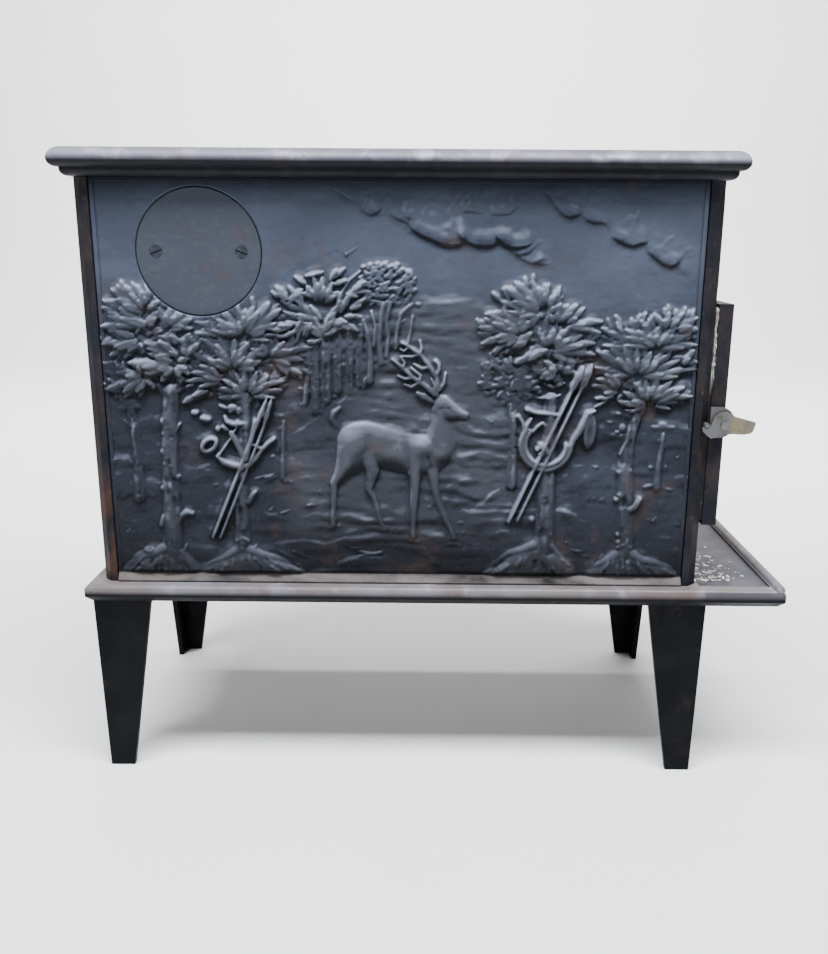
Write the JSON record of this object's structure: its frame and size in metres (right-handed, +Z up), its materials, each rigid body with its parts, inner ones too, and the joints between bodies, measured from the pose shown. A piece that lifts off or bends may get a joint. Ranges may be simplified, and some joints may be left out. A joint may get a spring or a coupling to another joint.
{
  "type": "wood burning stove",
  "caption": "Long narrow cast-iron wood stove on tapered legs, with relief side panels, a hinged end door with a lift latch, a hearth tray, an air register and a side flue collar.",
  "frame": {"origin": "middle of the whole stove's footprint, on the floor it stands on", "axes": "+X from the rear plate to the door and hearth, +Y from the blanked side to the flue collar's side, +Z up"},
  "size_m": [0.7017, 0.361, 0.6253],
  "materials": {
    "panel_iron": "cast relief, graphite black worn to grey-blue",
    "body_iron": "cast, graphite black with brown rust at the edges",
    "plate_iron": "cast, rubbed and lightly rusted",
    "leg_iron": "satin black paint",
    "liner_iron": "scaled and sooty",
    "fastener_steel": "dulled steel",
    "bright_steel": "zinc-plated steel, dulled",
    "rope_seal": "braided glass-fibre rope, frayed"
  },
  "bodies": {
    "stove": {"base_plate": "plate_iron", "left_side_plate": "panel_iron", "right_side_plate": "panel_iron", "front_plate": "body_iron", "rear_plate": "body_iron", "top_plate": "plate_iron", "blanking_disc": "panel_iron", "blanking_disc_bar": "fastener_steel", "blanking_disc_screws": "fastener_steel", "flue_collar": "body_iron", "flue_collar_bolts": "fastener_steel", "flue_collar_nuts": "fastener_steel", "leg_front_left": "leg_iron", "leg_front_right": "leg_iron", "leg_rear_left": "leg_iron", "leg_rear_right": "leg_iron", "tie_rods": "fastener_steel", "tie_rod_nuts": "fastener_steel", "left_liner": "liner_iron", "right_liner": "liner_iron", "rear_liner": "liner_iron", "floor_liner": "liner_iron", "baffle_plate": "liner_iron", "hinge_pins": "fastener_steel", "latch_catch": "fastener_steel"},
    "door": {"door": "body_iron", "door_rope_seal": "rope_seal", "door_heat_shield": "liner_iron", "door_heat_shield_screws": "fastener_steel", "latch_bracket": "bright_steel", "latch_bracket_screws": "bright_steel", "latch_rivet": "bright_steel", "air_register_pivot": "bright_steel"},
    "latch": {"latch_lever": "bright_steel"},
    "register": {"air_register": "body_iron", "air_register_knob": "bright_steel"}
  },
  "joints": [
    {"name": "door_swing", "type": "hinge", "parent": "stove", "child": "door", "pos_m": [0.27405, 0.13355, 0.38], "axis": [0, 0, 1], "range_deg": [0, 120]},
    {"name": "latch_lift", "type": "hinge", "parent": "door", "child": "latch", "pos_m": [0.27855, -0.16675, 0.3744], "axis": [0, -1, 0], "range_deg": [0, 50]},
    {"name": "air_register_turn", "type": "hinge", "parent": "door", "child": "register", "pos_m": [0.28335, -0.01545, 0.335], "axis": [1, 0, 0], "range_deg": [0, 36]}
  ]
}
